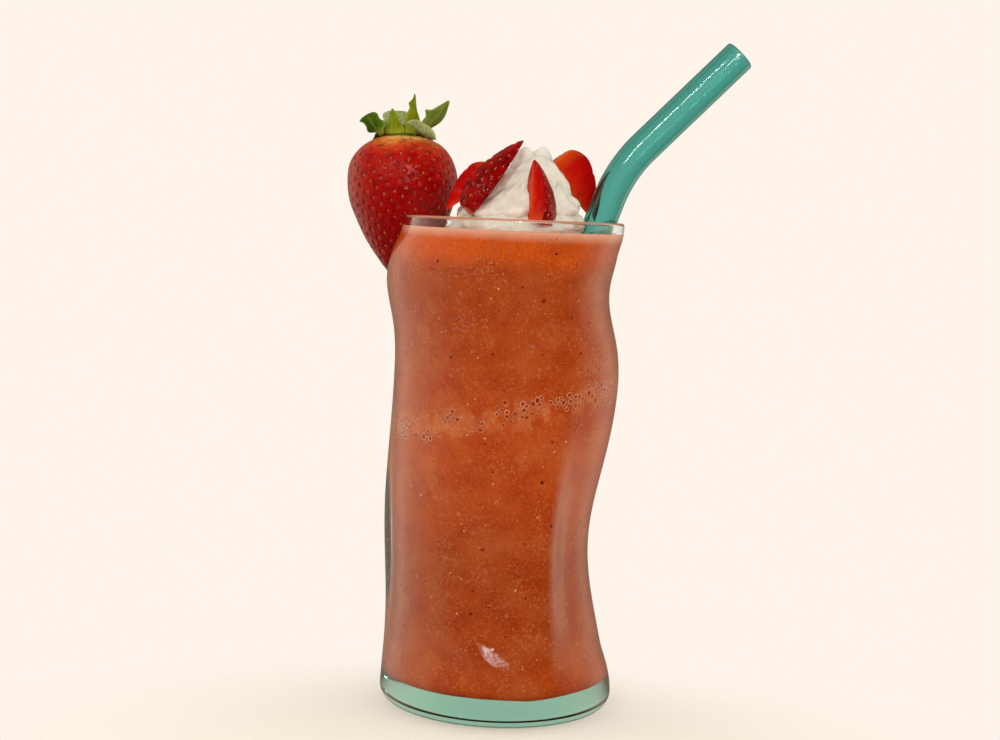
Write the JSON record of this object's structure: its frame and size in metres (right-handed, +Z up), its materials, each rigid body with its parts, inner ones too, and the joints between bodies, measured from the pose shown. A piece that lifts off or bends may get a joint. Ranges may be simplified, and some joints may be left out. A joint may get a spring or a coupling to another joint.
{
  "type": "strawberry smoothie",
  "caption": "Tall wavy glass tumbler of strawberry smoothie, topped with piped cream, strawberry wedges, a whole strawberry on the rim and a bent glass straw.",
  "frame": {"origin": "centre of the glass's flat foot, on the surface it stands on", "axes": "+Z up the glass, +X to the side that the straw leans to, -Y to the front"},
  "size_m": [0.122, 0.072, 0.2053],
  "materials": {
    "glass": "clear soda glass, faintly aqua where it is thick",
    "smoothie": "thick blended fruit with fine bubbles and specks",
    "cream": "soft piped whipped cream",
    "straw_glass": "clear teal glass",
    "strawberry": "glossy ripe fruit with pale seeds",
    "leaf": "fresh leaf, paler underneath"
  },
  "bodies": {
    "root": {"glass": "glass", "drink": "smoothie", "cream": "cream", "straw": "straw_glass", "rim_strawberry": "strawberry", "rim_strawberry_leaves": "leaf", "wedge_left_front": "strawberry", "wedge_left_back": "strawberry", "wedge_front": "strawberry", "wedge_right": "strawberry"}
  },
  "joints": []
}
